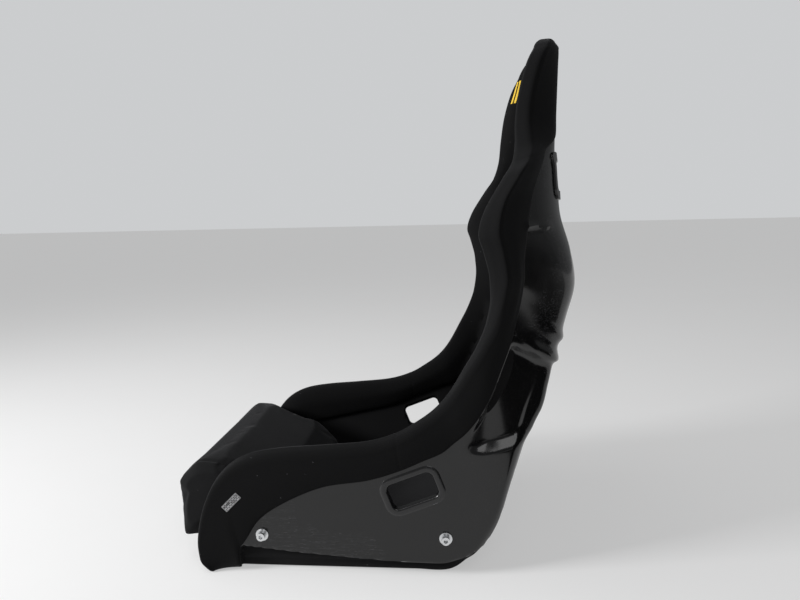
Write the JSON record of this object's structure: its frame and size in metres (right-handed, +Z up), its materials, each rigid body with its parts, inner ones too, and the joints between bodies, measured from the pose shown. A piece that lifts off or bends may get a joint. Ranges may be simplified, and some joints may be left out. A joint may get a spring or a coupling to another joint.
{
  "type": "racing seat",
  "caption": "Fixed-back racing bucket seat: glossy moulded shell with belt slots, padded velour bolsters and lift-off cushions, side-mounted.",
  "frame": {"origin": "on the floor plane, midway between the four side mounting screws", "axes": "+Z up, -Y the way the occupant faces, +X to the occupant's left"},
  "size_m": [0.5622, 0.6438, 0.84],
  "materials": {
    "shell_gelcoat": "glossy black gel coat on glass fibre laminate",
    "bezel_plastic": "black moulded plastic with a slight sheen",
    "zinc_steel": "bright zinc plated steel",
    "velour": "matte black stretch velour",
    "cushion_velour": "matte black velour over foam",
    "foam": "open cell foam",
    "hook_tape": "black hook and loop tape",
    "woven_label": "grey and white woven label",
    "embroidery": "raised yellow satin stitch"
  },
  "bodies": {
    "root": {"shell": "shell_gelcoat", "mount_screws": "zinc_steel", "mount_washers": "zinc_steel", "mount_inserts": "zinc_steel", "lap_slot_bezel_left": "bezel_plastic", "lap_slot_bezel_right": "bezel_plastic", "lap_slot_retainer_left": "bezel_plastic", "lap_slot_retainer_right": "bezel_plastic", "harness_bezel_left": "bezel_plastic", "harness_bezel_right": "bezel_plastic", "harness_retainer_left": "bezel_plastic", "harness_retainer_right": "bezel_plastic", "crotch_slot_bezel": "bezel_plastic", "pan_lining": "velour", "back_lining": "velour", "head_lining": "velour", "thigh_foam_left": "foam", "thigh_foam_right": "foam", "torso_foam_left": "foam", "torso_foam_right": "foam", "shoulder_foam_left": "foam", "shoulder_foam_right": "foam", "head_foam_left": "foam", "head_foam_right": "foam", "thigh_cover_left": "velour", "thigh_cover_right": "velour", "torso_cover_left": "velour", "torso_cover_right": "velour", "head_cover_left": "velour", "head_cover_right": "velour", "crown_pad": "velour", "back_hook_strips": "hook_tape", "head_hook_strips": "hook_tape", "pan_hook_strips": "hook_tape", "woven_tag": "woven_label"},
    "thigh_cushion": {"thigh_cushion": "cushion_velour", "thigh_loop_strips": "hook_tape"},
    "seat_cushion": {"seat_cushion": "cushion_velour", "seat_loop_strips": "hook_tape"},
    "back_cushion": {"back_cushion": "cushion_velour", "back_loop_strips": "hook_tape"},
    "head_pad": {"head_pad": "cushion_velour", "head_loop_strips": "hook_tape", "head_embroidery": "embroidery"}
  },
  "joints": [
    {"name": "thigh_cushion_lift", "type": "slide", "parent": "root", "child": "thigh_cushion", "axis": [0, 0, 1], "range_m": [0, 0.12]},
    {"name": "seat_cushion_lift", "type": "slide", "parent": "root", "child": "seat_cushion", "axis": [0, 0, 1], "range_m": [0, 0.12]},
    {"name": "back_cushion_lift", "type": "slide", "parent": "root", "child": "back_cushion", "axis": [0, -0.8, 0.6], "range_m": [0, 0.08]},
    {"name": "head_pad_lift", "type": "slide", "parent": "root", "child": "head_pad", "axis": [0, -0.8, 0.6], "range_m": [0, 0.045]}
  ]
}
